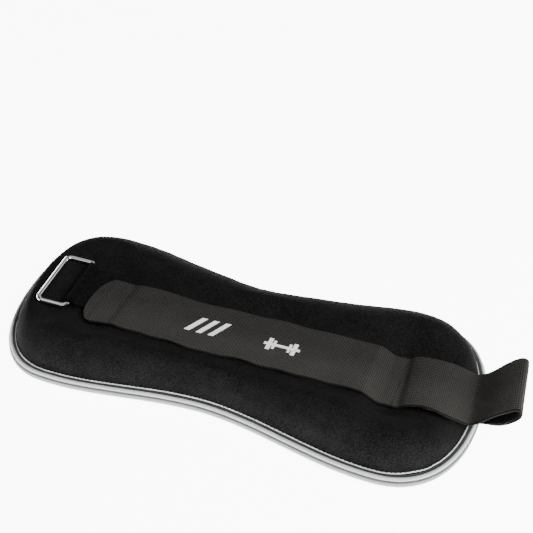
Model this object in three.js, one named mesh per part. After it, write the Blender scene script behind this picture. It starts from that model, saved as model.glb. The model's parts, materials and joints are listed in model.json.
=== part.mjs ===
// An ankle cuff weight lying open on its lining, in millimetres, with +Z up.
// +X runs along the cuff towards the free end of the strap and +Y runs across it.
// The origin is on the underside of the middle pocket.
import * as THREE from 'three';

// ---- driving dimensions ----------------------------------------------------
const LENGTH = 348;             // of the symmetric outline, outside the edge binding
const LOBE_WIDTH = 162;         // across each end lobe
const WAIST_WIDTH = 130;        // across the middle
const LOBE_AT = 117;            // from the middle to the widest place of a lobe
const LOBE_ROUNDNESS = 2.4;     // exponent of the superellipse that ends a lobe
const SWAY = { middle: -1.6, turn: -0.037, bow: 0.00008 };  // the pad's middle line in plan
const RING_END = { reach: 4, skew: 0.1 };  // this end is fuller, most so on its far side
const THICKNESS = 36;           // height of the pad's crown where no strap holds it down
const POCKET_COUNT = 7;
const POCKET_PITCH = 44.8;      // between the fold lines of two neighbouring pockets
const FOLD_HEIGHT = 16;         // of the neutral line that the cuff bends about
const FOLD_ANGLE = 44;          // degrees between two pockets when the cuff is wrapped

const FABRIC = 3;               // foam-backed jersey of the cover and the lining
const SEAM_HEIGHT = 6.5;        // of the seam where cover and lining meet
const LIP = 1.8;                // cover or lining pressed flat in the seam
const GAP = 0.35;               // running gap between touching pieces
const PACK_GAP = 1.8;           // between the filling bag and its pocket
const BINDING = { width: 4.4, height: 7.2 };

const STRAP_WIDTH = 50;
const WEBBING = 1.6;
const STRAP_BED = 27;           // height of the cover under the sewn strap
const DIMPLE = 20.5;            // height of the cover where the strap is sewn down
const TAB_DIMPLE = 23;          // and where the ring's tab is
const END_BED = { ring: 26.5, strap: 21.2, from: 139, droop: 8, over: 23.5 };
const BED_HALF = 34;            // half width of the bed, and where the crown is whole again
const BED_FADE = 50;
const TONGUE_TIP = -115;        // rounded start of the strap
const TONGUE_ROUND = 13;        // length of the rounding
const STRAP_SEAM = 120;         // cross seam where the free end starts
const STRAP_Y = -9.6;           // the strap lies a little towards the near side
const TONGUE_SHIFT = 3;         // and its start a little less so
const STRAP_HEADING = 4;        // degrees that the free end points off the cuff's length

const RING = {
  width: 57, length: 26, wire: 3.6, corner: 6, tilt: 5, axis: -129.5, y: 4.6, turn: 4.5,
};
const TAB = { width: 42, tape: 1.2, end: -100.5, ear: 3.4, hole: 2.3 };
const HOOK = { tape: 0.6, lift: 0.3 };

const HALF = LENGTH / 2;
const DEG = Math.PI / 180;

// ---- small helpers ---------------------------------------------------------
const clamp = (t, low, high) => Math.min(Math.max(t, low), high);
const smooth = (t) => clamp(t, 0, 1) ** 2 * (3 - 2 * clamp(t, 0, 1));
const ramp = (x, from, to) => smooth((x - from) / (to - from));
const foldLine = (k) => (k - POCKET_COUNT / 2) * POCKET_PITCH;

const colours = {
  cover: { color: 0x1b1b1c, roughness: 0.95, metalness: 0 },
  lining: { color: 0x151516, roughness: 0.97, metalness: 0 },
  filling: { color: 0x6f6a60, roughness: 0.9, metalness: 0 },
  binding: { color: 0xb9bdbc, roughness: 0.75, metalness: 0 },
  webbing: { color: 0x36332f, roughness: 0.85, metalness: 0 },
  hookTape: { color: 0x0e0e0f, roughness: 1, metalness: 0 },
  ring: { color: 0xd8d8da, roughness: 0.15, metalness: 1 },
};

const cuff = new THREE.Group();

function addMesh(name, geometry, finish, parent = cuff) {
  const mesh = new THREE.Mesh(geometry, new THREE.MeshStandardMaterial(colours[finish]));
  mesh.name = name;
  parent.add(mesh);
  return mesh;
}

// ---- outline and surfaces of the pad ---------------------------------------
// Half of the pad's width at x, for the outline that lies "inset" inside the outer edge.
function halfWidth(x, inset = 0) {
  const along = Math.abs(x);
  const lobe = LOBE_WIDTH / 2 - inset;
  if (along <= LOBE_AT) {
    return WAIST_WIDTH / 2 - inset + (LOBE_WIDTH - WAIST_WIDTH) / 2 * smooth(along / LOBE_AT);
  }
  const u = Math.min((along - LOBE_AT) / (HALF - inset - LOBE_AT), 1);
  return lobe * (1 - u ** LOBE_ROUNDNESS) ** (1 / LOBE_ROUNDNESS);
}

// Distance in Y by which the pad's middle line leaves the X axis at x.
const sway = (x) => SWAY.middle + SWAY.turn * x + SWAY.bow * x ** 2;

// Moves a point of the symmetric pad to its place in the cuff's real plan.
function inPlan(x, y) {
  const fuller = (RING_END.reach + RING_END.skew * y) * ramp(x, -LOBE_AT, -HALF);
  return [x - fuller, y + sway(x)];
}

// Height of the flattened bed that the strap, the tab and the ring lie on.
function bedHeight(x) {
  if (x < 0) {
    return STRAP_BED - (STRAP_BED - TAB_DIMPLE) * ramp(x, -84, -98)
      + (END_BED.ring - TAB_DIMPLE) * ramp(x, -138, -152);
  }
  return STRAP_BED - (STRAP_BED - DIMPLE) * ramp(x, 96, 110)
    + (END_BED.strap - DIMPLE) * ramp(x, 125, END_BED.from)
    - END_BED.droop * (Math.max(x - END_BED.from, 0) / END_BED.over) ** 2;
}

// Middle of the sewn strap at x.
const strapMiddle = (x) => STRAP_Y + TONGUE_SHIFT * ramp(x, -20, -90);

// Middle of the bed from the pad's middle line; it moves over to lie under the ring.
const BED_SHIFT = RING.y - 2 - STRAP_Y - TONGUE_SHIFT;
const bedMiddle = (x) => strapMiddle(x) + BED_SHIFT * ramp(x, -95, -125) - sway(x);

const SHELL_INSET = BINDING.width + 0.8;

// Top of a crowned layer "depth" below the cover's outer face.
function crownHeight(x, y, depth) {
  const side = halfWidth(x, SHELL_INSET + depth);
  const base = SEAM_HEIGHT + GAP / 2 + Math.max(LIP - depth, 0);
  const across = Math.min(Math.abs(y) / Math.max(side, 0.01), 1);
  const swell = (1 - Math.min(Math.abs(x) / (HALF - SHELL_INSET), 1) ** 8) ** 0.59;
  const dome = base + (THICKNESS - depth - base) * swell * (1 - across ** 3.2) ** 0.58;
  const bed = Math.max(bedHeight(x) - depth, base);
  const off = Math.abs(y - bedMiddle(x));
  return dome - Math.max(dome - bed, 0) * (1 - ramp(off, BED_HALF, BED_FADE));
}

// Underside of the pad: flat on the table, then rising to the seam.
function liningBottom(x, y, side) {
  return (SEAM_HEIGHT - GAP / 2 - LIP) * ramp(Math.abs(y) / side, 0.78, 1)
    * (Math.abs(y) / side);
}

// Cross positions shared by all layers, as fractions of the half width at x.
function columns(x, side) {
  const middle = bedMiddle(x) / side;
  const reach = BED_HALF / side;
  const outwards = (edge, sign) => [0, 0.28, 0.52, 0.71, 0.86, 0.95, 1]
    .map((t) => edge + (sign - edge) * t);
  return [...outwards(Math.max(middle - reach, -0.5), -1).reverse(),
    clamp(middle, -0.3, 0.3), ...outwards(Math.min(middle + reach, 0.5), 1)];
}

// Pulls the outer columns in so that the outermost one lies "inset" inside the shell's edge.
function narrowed(v, side, inset) {
  const shared = 0.74;
  const beyond = Math.max(Math.abs(v) - shared, 0) / (1 - shared);
  return Math.sign(v) * (Math.min(Math.abs(v), shared) + beyond * (1 - inset / side - shared));
}

// A layer of the pad: a box whose vertices are moved onto two curved faces.
// stations are x positions, low and high give the heights of the two faces.
// The ends lean back below the fold line so that neighbours can close up on each other.
function layer(stations, low, high, limits, inset = 0) {
  const rows = stations.length - 1;
  const cols = columns(0, 1).length - 1;
  const geometry = new THREE.BoxGeometry(1, 1, 1, rows, cols, 1);
  const position = geometry.attributes.position;
  for (let i = 0; i < position.count; i += 1) {
    const x = stations[Math.round((position.getX(i) + 0.5) * rows)];
    const side = Math.max(halfWidth(x, SHELL_INSET), 6);
    const v = columns(x, side)[Math.round((position.getY(i) + 0.5) * cols)];
    const y = (inset ? narrowed(v, side, inset) : v) * side;
    const z = (position.getZ(i) > 0 ? high : low)(x, y, side);
    position.setXYZ(i, ...inPlan(clampToPocket(x, z, limits), y), z);
  }
  return geometry;
}

function clampToPocket(x, z, [from, to]) {
  const lean = GAP + Math.max(FOLD_HEIGHT - z, 0) * Math.tan(FOLD_ANGLE / 2 * DEG);
  return clamp(x, from + (from > -HALF ? lean : 0), to - (to < HALF ? lean : 0));
}

// x positions of one pocket's cross sections, closer together where the pad is round.
function stationsBetween(from, to) {
  const marks = [0, 45, 75, 84, 91, 98, 104, 110, 117, 125, 129, 133, 139, 144, 150, 156];
  const rounded = [48, 60, 70, 78, 84].map((a) => LOBE_AT
    + (HALF - SHELL_INSET - LOBE_AT) * Math.sin(a * DEG) ** (2 / LOBE_ROUNDNESS));
  const all = [...marks, ...rounded].flatMap((x) => [x, -x]).sort((a, b) => a - b);
  const inside = all.filter((x, i) => x > from + 3 && x < to - 3 && x !== all[i - 1]);
  const end = HALF - SHELL_INSET - 0.1;
  return [Math.max(from, -end), ...inside.filter((x) => Math.abs(x) < end - 0.5),
    Math.min(to, end)];
}

// ---- the seven pockets: cover, lining and filling bag ----------------------
function addPocket(i) {
  const limits = [i === 1 ? -HALF : foldLine(i - 1), i === POCKET_COUNT ? HALF : foldLine(i)];
  const stations = stationsBetween(...limits);
  addMesh(`outer_cover_${i}`, layer(stations,
    (x, y) => crownHeight(x, y, FABRIC),
    (x, y) => crownHeight(x, y, 0), limits), 'cover');

  const liningTop = (x, y, side) => Math.min(liningBottom(x, y, side) + FABRIC,
    SEAM_HEIGHT - GAP / 2);
  addMesh(`inner_lining_${i}`, layer(stations, liningBottom, liningTop, limits), 'lining');

  const packEnd = HALF - SHELL_INSET - 12;
  const packStations = stations.filter((x) => Math.abs(x) < packEnd);
  addMesh(`filling_bag_${i}`, layer(packStations,
    (x, y, side) => liningTop(x, y, side) + PACK_GAP,
    (x, y) => crownHeight(x, y, FABRIC + PACK_GAP), limits, FABRIC + 6), 'filling');
}

for (let i = 1; i <= POCKET_COUNT; i += 1) addPocket(i);

// ---- edge binding ----------------------------------------------------------
function addBinding(name, points) {
  const path = new THREE.CatmullRomCurve3(points);
  const section = new THREE.Shape();
  section.absellipse(0, 0, BINDING.height / 2, BINDING.width / 2, 0, 2 * Math.PI);
  const geometry = new THREE.ExtrudeGeometry(section, {
    extrudePath: path, steps: (points.length - 1) * 2, curveSegments: 4, bevelEnabled: false,
  });
  addMesh(name, geometry, 'binding');
}

const BINDING_END = GAP + (FOLD_HEIGHT - SEAM_HEIGHT + BINDING.height / 2)
  * Math.tan(FOLD_ANGLE / 2 * DEG);

function bindingPoint(x, sign) {
  return new THREE.Vector3(...inPlan(x, sign * halfWidth(x, BINDING.width / 2)), SEAM_HEIGHT);
}

function addSideBindings(i) {
  const from = foldLine(i - 1) + BINDING_END;
  const to = foldLine(i) - BINDING_END;
  for (const [side, sign] of [['far', 1], ['near', -1]]) {
    const points = [0, 0.5, 1].map((t) => bindingPoint(from + (to - from) * t, sign));
    addBinding(`edge_binding_${side}_${i}`, points);
  }
}

// The binding runs round each end in one U-shaped length.
function addEndBinding(i, direction) {
  const reach = HALF - BINDING.width / 2 - LOBE_AT;
  const side = LOBE_WIDTH / 2 - BINDING.width / 2;
  const first = direction * (foldLine(POCKET_COUNT - 1) + BINDING_END);
  const points = [bindingPoint(first, 1)];
  for (let a = 78; a >= -78; a -= 12) {
    const c = Math.cos(a * DEG) ** (2 / LOBE_ROUNDNESS);
    const s = Math.abs(Math.sin(a * DEG)) ** (2 / LOBE_ROUNDNESS) * Math.sign(a);
    const place = inPlan(direction * (LOBE_AT + reach * c), side * s);
    points.push(new THREE.Vector3(...place, SEAM_HEIGHT));
  }
  points.push(bindingPoint(first, -1));
  addBinding(`edge_binding_end_${i}`, direction > 0 ? points : points.reverse());
}

for (let i = 2; i < POCKET_COUNT; i += 1) addSideBindings(i);
addEndBinding(1, -1);
addEndBinding(POCKET_COUNT, 1);

// ---- sewn length of the strap ----------------------------------------------
const TAB_TOP = TAB_DIMPLE + GAP + 2 * TAB.tape;

const strapBottom = (x) => Math.max(bedHeight(x), x < -90 ? TAB_TOP : 0) + GAP;

function strapHalf(x) {
  const u = Math.max(TONGUE_TIP + TONGUE_ROUND - x, 0) / TONGUE_ROUND;
  return STRAP_WIDTH / 2 * (1 - u ** 2.4) ** (1 / 2.4);
}

// "skew" turns the last cross section, in degrees, to meet the free end squarely.
function addStrapSlice(name, stations, skew = 0) {
  const rows = stations.length - 1;
  const geometry = new THREE.BoxGeometry(1, 1, 1, rows, 2, 1);
  const position = geometry.attributes.position;
  for (let i = 0; i < position.count; i += 1) {
    const x = stations[Math.round((position.getX(i) + 0.5) * rows)];
    const across = 2 * position.getY(i) * strapHalf(x);
    const back = x === stations[rows] ? across * Math.tan(skew * DEG) : 0;
    const z = strapBottom(x) + (position.getZ(i) > 0 ? WEBBING : 0);
    position.setXYZ(i, x - back, strapMiddle(x) + across, z);
  }
  addMesh(name, geometry, 'webbing');
}

const TONGUE = [0.4, 2, 5, 9, TONGUE_ROUND].map((t) => TONGUE_TIP + t);
addStrapSlice('strap_tongue_2', [...TONGUE, -90.01, -84, foldLine(2) - GAP]);
for (let i = 3; i < POCKET_COUNT; i += 1) {
  const stations = stationsBetween(foldLine(i - 1), foldLine(i));
  stations[0] += GAP;
  stations[stations.length - 1] -= GAP;
  addStrapSlice(`strap_sewn_${i}`, stations);
}
const seamStart = foldLine(POCKET_COUNT - 1) + GAP;
addStrapSlice('strap_seam_7', [seamStart, STRAP_SEAM - 0.5], STRAP_HEADING);

// ---- tab and ring ----------------------------------------------------------
// Both are drawn in a frame of their own on the ring's hidden bar.
const ringEnd = new THREE.Group();
ringEnd.position.set(RING.axis, RING.y, 0);
ringEnd.rotation.z = RING.turn * DEG;
cuff.add(ringEnd);

// Turns an outline drawn in X and Z into a piece "width" wide that is centred on y = 0.
function extrudeAcross(shape, width, curveSegments = 6) {
  const geometry = new THREE.ExtrudeGeometry(shape, {
    depth: width, curveSegments, bevelEnabled: false,
  });
  return geometry.rotateX(Math.PI / 2).translate(0, width / 2, 0);
}

const BAR_HEIGHT = TAB_DIMPLE + GAP + TAB.ear;

function addTab() {
  const bottom = TAB_DIMPLE + GAP;
  const end = TAB.end - RING.axis;
  const loop = new THREE.Shape();
  loop.moveTo(end, bottom);
  loop.lineTo(end, TAB_TOP);
  loop.lineTo(7, TAB_TOP);
  loop.absarc(0, BAR_HEIGHT, TAB.ear, 0.35 * Math.PI, 1.5 * Math.PI, false);
  const hole = new THREE.Path();
  hole.absarc(0, BAR_HEIGHT, TAB.hole, 0, 2 * Math.PI, true);
  loop.holes.push(hole);
  addMesh('ring_tab', extrudeAcross(loop, TAB.width), 'hookTape', ringEnd);
}

function roundedRectangle(path, width, height, radius) {
  const [w, h] = [width / 2, height / 2];
  path.moveTo(-w + radius, -h);
  path.absarc(w - radius, -h + radius, radius, -0.5 * Math.PI, 0, false);
  path.absarc(w - radius, h - radius, radius, 0, 0.5 * Math.PI, false);
  path.absarc(-w + radius, h - radius, radius, 0.5 * Math.PI, Math.PI, false);
  path.absarc(-w + radius, -h + radius, radius, Math.PI, 1.5 * Math.PI, false);
  return path;
}

// A rounded rectangle of wire; the bevel makes its section nearly round.
function addRing() {
  const bevel = RING.wire * 0.44;
  const flat = RING.wire - 2 * bevel;
  const outer = roundedRectangle(new THREE.Shape(), RING.length - 2 * bevel,
    RING.width - 2 * bevel, RING.corner - bevel);
  const inner = roundedRectangle(new THREE.Path(), RING.length - 2 * bevel - 2 * flat,
    RING.width - 2 * bevel - 2 * flat, RING.corner - bevel - flat);
  outer.holes.push(inner);
  const geometry = new THREE.ExtrudeGeometry(outer, {
    depth: flat, curveSegments: 5, bevelEnabled: true,
    bevelThickness: bevel, bevelSize: bevel, bevelSegments: 4,
  });
  geometry.translate(RING.wire / 2 - RING.length / 2, 0, -flat / 2);
  const ring = addMesh('buckle_ring', geometry, 'ring', ringEnd);
  ring.position.z = BAR_HEIGHT;
  ring.rotation.y = RING.tilt * DEG;
}

addTab();
addRing();

// ---- free end of the strap -------------------------------------------------
// It is drawn in a frame of its own at the cross seam: s along the strap, z up.
const freeEnd = new THREE.Group();
freeEnd.position.set(STRAP_SEAM, STRAP_Y, 0);
freeEnd.rotation.z = STRAP_HEADING * DEG;
cuff.add(freeEnd);

// A strip of even thickness along a line of points, trimmed by "cut" at both ends.
function strip(points, thickness, cut) {
  const line = points.map(([s, z]) => new THREE.Vector2(s, z));
  const last = line.length - 1;
  const towards = (a, b) => b.clone().sub(a).normalize();
  line[0].addScaledVector(towards(line[0], line[1]), cut);
  line[last].addScaledVector(towards(line[last], line[last - 1]), cut);
  const offset = (side) => line.map((p, i) => {
    const t = towards(line[Math.max(i - 1, 0)], line[Math.min(i + 1, last)]);
    return new THREE.Vector2(p.x - t.y * side, p.y + t.x * side);
  });
  return new THREE.Shape([...offset(-thickness / 2), ...offset(thickness / 2).reverse()]);
}

function addLink(name, points, { thickness = WEBBING, cut = 0.75, finish = 'webbing' } = {}) {
  addMesh(name, extrudeAcross(strip(points, thickness, cut), STRAP_WIDTH), finish, freeEnd);
}

const seamPoint = [0, DIMPLE + GAP + WEBBING / 2];
const lowPoint = [46.5, 19.6];
const foldStart = [70, 38.6];
const foldEnd = [77, 34.4];
const innerLow = [47.2, 16.4];
const foldedEnd = [innerLow, [40, 18], [33, 20.2], [26, 21.8], [20, 22.6], [16, 22.6]];

addLink('strap_run', [seamPoint, [4, 22.6], [9, 25], [15, 26.3], [24, 26.2], [33, 24.1],
  [40, 21.6], lowPoint]);
addLink('strap_rise', [lowPoint, [51.5, 21.9], [58, 27.2], [64, 32.8], foldStart]);
addLink('strap_fold', [foldStart, [74.2, 41.9], [77, 41.6], [78.2, 38.6], foldEnd]);
addLink('strap_return', [foldEnd, [73, 29.4], [67.5, 24.4], [61, 20.4], [54, 17.8], innerLow]);
addLink('strap_end', foldedEnd);

// Hook tape on the upper face of the folded end, against the strap above it.
function addHookTape() {
  const away = WEBBING / 2 + HOOK.lift + HOOK.tape / 2;
  const line = foldedEnd.map(([s, z]) => [s, z + away]);
  addLink('hook_tape', line, { thickness: HOOK.tape, cut: 2, finish: 'hookTape' });
}

addHookTape();

export default cuff;
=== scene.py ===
import json
import math

import bpy
import numpy as np
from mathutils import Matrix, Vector
from mathutils.bvhtree import BVHTree

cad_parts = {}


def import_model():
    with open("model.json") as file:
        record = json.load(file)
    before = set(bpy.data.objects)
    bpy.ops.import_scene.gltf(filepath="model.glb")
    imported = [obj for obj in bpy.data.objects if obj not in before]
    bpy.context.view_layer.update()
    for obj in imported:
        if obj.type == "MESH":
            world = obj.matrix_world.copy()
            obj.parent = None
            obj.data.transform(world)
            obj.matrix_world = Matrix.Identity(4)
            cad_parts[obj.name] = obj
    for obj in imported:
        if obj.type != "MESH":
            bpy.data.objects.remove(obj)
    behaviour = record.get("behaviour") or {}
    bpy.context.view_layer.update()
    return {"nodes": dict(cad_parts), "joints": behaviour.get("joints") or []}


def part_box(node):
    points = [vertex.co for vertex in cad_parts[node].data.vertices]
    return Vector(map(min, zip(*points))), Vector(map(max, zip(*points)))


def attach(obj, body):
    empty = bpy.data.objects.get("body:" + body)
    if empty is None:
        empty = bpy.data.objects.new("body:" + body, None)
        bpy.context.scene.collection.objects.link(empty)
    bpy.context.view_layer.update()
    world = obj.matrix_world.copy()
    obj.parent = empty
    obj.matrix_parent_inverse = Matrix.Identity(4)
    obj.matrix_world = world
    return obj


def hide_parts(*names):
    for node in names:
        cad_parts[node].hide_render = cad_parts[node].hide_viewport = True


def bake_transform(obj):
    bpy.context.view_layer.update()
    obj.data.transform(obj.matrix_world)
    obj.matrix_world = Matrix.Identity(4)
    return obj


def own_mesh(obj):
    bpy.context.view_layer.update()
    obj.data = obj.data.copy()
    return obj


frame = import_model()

MM = 0.001

# ---- driving values, read from the frame (metres) ----
JOINTS = {j["name"]: j for j in frame["joints"]}
PITCH = 2 * JOINTS["wrap"]["pos_m"][0]           # between two pockets' middles
END_LOW, END_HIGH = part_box("edge_binding_end_7")
FAR_SIDE, NEAR_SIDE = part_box("edge_binding_far_4"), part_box("edge_binding_near_4")
HALF = END_HIGH.x                                # half the length of the symmetric outline
LOBE = (END_HIGH.y - END_LOW.y) / 2              # half its width at an end lobe
TAPE = 4.4 * MM                                  # width of the folded edge binding
WAIST = (FAR_SIDE[0].y - NEAR_SIDE[1].y) / 2 + TAPE      # half its width at the middle
SWAY = (-1.6, -0.037, 0.00008)                   # of the pad's middle line: shift, turn, bow (mm)
RING_END = (4 * MM, 0.1)                         # extra reach of the ring's end, and per metre of y
SEAM_Z = (END_LOW.z + END_HIGH.z) / 2            # height of the seam under the binding
LOBE_AT = 117 * MM                               # where a lobe is widest
ROUNDNESS = 2.4                                  # of the superellipse that ends a lobe
STRAP_LOW, STRAP_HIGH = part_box("strap_sewn_4")
WEBBING = STRAP_HIGH.z - STRAP_LOW.z             # its thickness
STRAP_HALF = (STRAP_HIGH.y - STRAP_LOW.y) / 2 - 0.2 * MM     # half its width
GAP = 0.35 * MM                                  # clearance between a tape and the cover below
BED = STRAP_LOW.z - GAP                          # height of the cover under the strap
TAB_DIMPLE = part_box("ring_tab")[0].z - GAP       # under the ring's tab
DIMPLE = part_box("strap_seam_7")[0].z - GAP       # and where the strap is sewn down
TONGUE_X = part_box("strap_tongue_2")[0].x
TONGUE_ROUND = 13 * MM                           # length of the tongue's rounding
TONGUE_SHIFT = 3 * MM                            # the tongue lies this much further over
COMES_LOOSE = (118 * MM, 126 * MM)               # where the sewn webbing turns into the free end
SEAM = Vector(JOINTS["strap_lift"]["pos_m"])     # middle of the cross seam
RING_PIVOT = Vector(JOINTS["ring_swing"]["pos_m"])
STRAP_AXIS = Vector(JOINTS["strap_lift"]["axis"])            # across the free end
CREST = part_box("outer_cover_2")[1].z + 1.2 * MM  # crown of the side bulges

CENTRES = [k * PITCH for k in range(-3, 4)]      # middles of the seven pockets
SPANS = [(-HALF, CENTRES[1])] + list(zip(CENTRES[1:5], CENTRES[2:6])) + [(CENTRES[5], HALF)]
PAIRS = [(f"pocket_{i}", f"pocket_{i + 1}") for i in range(1, 7)]
BENDS = list(zip(CENTRES[:6], CENTRES[1:]))      # where each fold takes its bend
BENDS[5] = (CENTRES[5] + 10 * MM, SEAM.x + 4 * MM)   # short, so the cross seam stays put


def smooth(t):
    t = np.clip(t, 0, 1)
    return t * t * (3 - 2 * t)


def ramp(x, start, end):
    return smooth((np.asarray(x, float) - start) / (end - start))


# ---- mesh helpers ----
def new_mesh(name, verts, faces, rest=None, material=None):
    mesh = bpy.data.meshes.new(name)
    mesh.from_pydata([tuple(v) for v in verts], [], [tuple(f) for f in faces])
    mesh.update()
    obj = bpy.data.objects.new(name, mesh)
    bpy.context.scene.collection.objects.link(obj)
    if rest is not None:
        store(mesh, "flat", rest)
    if material is not None:
        mesh.materials.append(material)
    mesh.shade_smooth()
    return obj


def store(mesh, name, values):
    layer = mesh.attributes.new(name, "FLOAT_VECTOR", "POINT")
    layer.data.foreach_set("vector", np.asarray(values, np.float32).ravel())


def grid_faces(rows, cols, closed=False, flip=False):
    """Faces of a grid of rows x cols vertices; closed joins the last column to the first."""
    faces = []
    for i in range(rows - 1):
        for j in range(cols if closed else cols - 1):
            k = (j + 1) % cols
            quad = (i * cols + j, (i + 1) * cols + j, (i + 1) * cols + k, i * cols + k)
            faces.append(quad[::-1] if flip else quad)
    return faces


def vertex_normals(verts, faces):
    verts = np.asarray(verts, float)
    normals = np.zeros_like(verts)
    quads = np.array([f for f in faces if len(f) == 4])
    a, b, c, d = (verts[quads[:, k]] for k in range(4))
    face = np.cross(c - a, d - b)
    for k in range(4):
        np.add.at(normals, quads[:, k], face)
    return normals / np.maximum(np.linalg.norm(normals, axis=1), 1e-12)[:, None]


def cut_piece(name, verts, faces, keep, rest, normals, material):
    """A piece made of some faces of a larger sheet, shaded as one surface with the rest of it."""
    chosen = [f for f, k in zip(faces, keep) if k]
    used = sorted({v for f in chosen for v in f})
    index = {v: i for i, v in enumerate(used)}
    obj = new_mesh(name, [verts[v] for v in used],
                   [tuple(index[v] for v in f) for f in chosen],
                   [rest[v] for v in used], material)
    obj.data.normals_split_custom_set_from_vertices([tuple(normals[v]) for v in used])
    return obj


def bend_between(obj, k):
    """Bakes a piece of the k-th span in place; the ends of its bend between the two pockets are worked
    out but not used.
    """
    z = JOINTS["wrap"]["pos_m"][2]
    start, end = [(x, 0, z) for x in BENDS[k]]
    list(PAIRS[k])
    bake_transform(obj)
    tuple(start)
    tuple(end)


# ---- outline of the cuff ----
def half_width(x, inset=0.0):
    along = np.abs(x)
    waist = WAIST - inset + (LOBE - WAIST) * smooth(along / LOBE_AT)
    u = np.clip((along - LOBE_AT) / (HALF - inset - LOBE_AT), 0, 1)
    lobe = (LOBE - inset) * (1 - u ** ROUNDNESS) ** (1 / ROUNDNESS)
    return np.where(along <= LOBE_AT, waist, lobe)


def in_plan(x, y):
    """Moves points of the symmetric outline to their places in the cuff's real plan."""
    fuller = (RING_END[0] + RING_END[1] * y) * ramp(-x, LOBE_AT, HALF)
    shift, turn, bow = SWAY
    along = x / MM
    return x - fuller, y + (shift + turn * along + bow * along ** 2) * MM


def outline_table(inset):
    """Points round the cuff's edge, counter-clockwise from the near side's middle."""
    side = np.linspace(0, LOBE_AT, 160)
    turn = np.linspace(0, math.pi / 2, 160)[1:]
    reach = HALF - inset - LOBE_AT
    x = np.concatenate([side, LOBE_AT + reach * np.sin(turn) ** (2 / ROUNDNESS)])
    lobe = (LOBE - inset) * np.cos(turn).clip(0) ** (2 / ROUNDNESS)
    y = np.concatenate([half_width(side, inset), lobe])
    quarter = np.stack([x, y], 1)
    near_right = quarter * [1, -1]
    far_right = quarter[::-1][1:]
    far_left = (quarter * [-1, 1])[1:]
    near_left = (quarter * [-1, -1])[::-1][1:]
    whole = np.concatenate([near_right, far_right, far_left, near_left])
    return np.stack(in_plan(whole[:, 0], whole[:, 1]), 1)


class Edge:
    """The closed outline at one inset, as points and outward normals at any length along it."""

    def __init__(self, inset):
        points = outline_table(inset)
        step = np.linalg.norm(np.diff(points, axis=0), axis=1)
        keep = np.concatenate([[True], step > 1e-7])
        self.points = points[keep]
        step = np.linalg.norm(np.diff(self.points, axis=0), axis=1)
        self.length_at = np.concatenate([[0], np.cumsum(step)])
        self.total = self.length_at[-1]

    def at(self, s):
        s = np.mod(s, self.total)
        x = np.interp(s, self.length_at, self.points[:, 0])
        y = np.interp(s, self.length_at, self.points[:, 1])
        return np.stack([x, y], -1)

    def normal(self, s):
        reach = 1.5 * MM
        along = self.at(s + reach) - self.at(s - reach)
        along /= np.linalg.norm(along, axis=-1)[..., None]
        return np.stack([along[..., 1], -along[..., 0]], -1)

    def where(self, x, far):
        """Length along the outline at which it passes x on the far or near side."""
        s = np.linspace(0, self.total, 8001)
        p = self.at(s)
        good = (p[:, 1] > 0) if far else (p[:, 1] < 0)
        best = np.argmin(np.abs(p[:, 0] - x) + 10 * (~good))
        return s[best]

    def runs(self):
        """(span number, start, end) of the lengths of edge between the pockets' middles."""
        near = [self.where(x, False) for x in CENTRES[1:6]]
        far = [self.where(x, True) for x in CENTRES[1:6]]
        out = [(0, far[0], near[0] + (self.total if near[0] < far[0] else 0))]
        for k in range(4):
            a, b = near[k], near[k + 1]
            out.append((k + 1, a, b if b > a else b + self.total))
            a, b = far[k + 1], far[k]
            out.append((k + 1, a, b if b > a else b + self.total))
        out.append((5, near[4], far[4]))
        return out


# ---- surfaces of the pad ----
SHELL_INSET = 4.5 * MM                           # from the cuff's outer edge in to the cover's rim
CREST_RISE = 40 * MM                             # from the seam in to the top of a bulge
LIP = 1.6 * MM                                   # width pressed flat along the seam
DOME_POWERS = (2.4, 0.56)                        # roundness of a bulge at its top and at its foot
END_BED = 21.2 * MM                              # height of the cover under the strap's tip
RING_BED = 26.2 * MM                             # and under the ring
# Where the height under the tapes changes, as distances in mm from the cuff's middle.
TO_TAB, TO_RING = (84, 99), (138, 152)           # on the ring's side
TO_SEAM, TO_TIP = (97, 111), (125, 139)          # on the free end's side
PINCH = 4 * MM                                   # depth of the dimples beside the cross seam
PINCH_LENGTH, PINCH_WIDTH = 8 * MM, 6 * MM


def strap_middle(x):
    return SEAM.y + TONGUE_SHIFT * ramp(x, -20 * MM, -90 * MM)


def bed_middle(x):
    """Middle of the flattened bed, which passes from under the strap to under the ring."""
    shift = RING_PIVOT.y - 2 * MM - SEAM.y - TONGUE_SHIFT
    return strap_middle(x) + shift * ramp(x, -95 * MM, -125 * MM)


def bed_height(x):
    x = np.asarray(x, float) / MM
    left = BED - (BED - TAB_DIMPLE) * ramp(-x, *TO_TAB)
    left = left + (RING_BED - TAB_DIMPLE) * ramp(-x, *TO_RING)
    right = BED - (BED - DIMPLE) * ramp(x, *TO_SEAM) + (END_BED - DIMPLE) * ramp(x, *TO_TIP)
    right = right - 8 * MM * (np.maximum(x - TO_TIP[1], 0) / 23.5) ** 2      # down to the seam
    return np.where(x < 0, left, right)


EDGE_SHELL = Edge(SHELL_INSET)


def edge_distance(x, y):
    """Distance from the seam, measured to the nearest point of the outline."""
    pts = EDGE_SHELL.at(np.linspace(0, EDGE_SHELL.total, 700, endpoint=False))
    return np.array([np.hypot(px - pts[:, 0], py - pts[:, 1]).min() for px, py in zip(x, y)])


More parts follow.
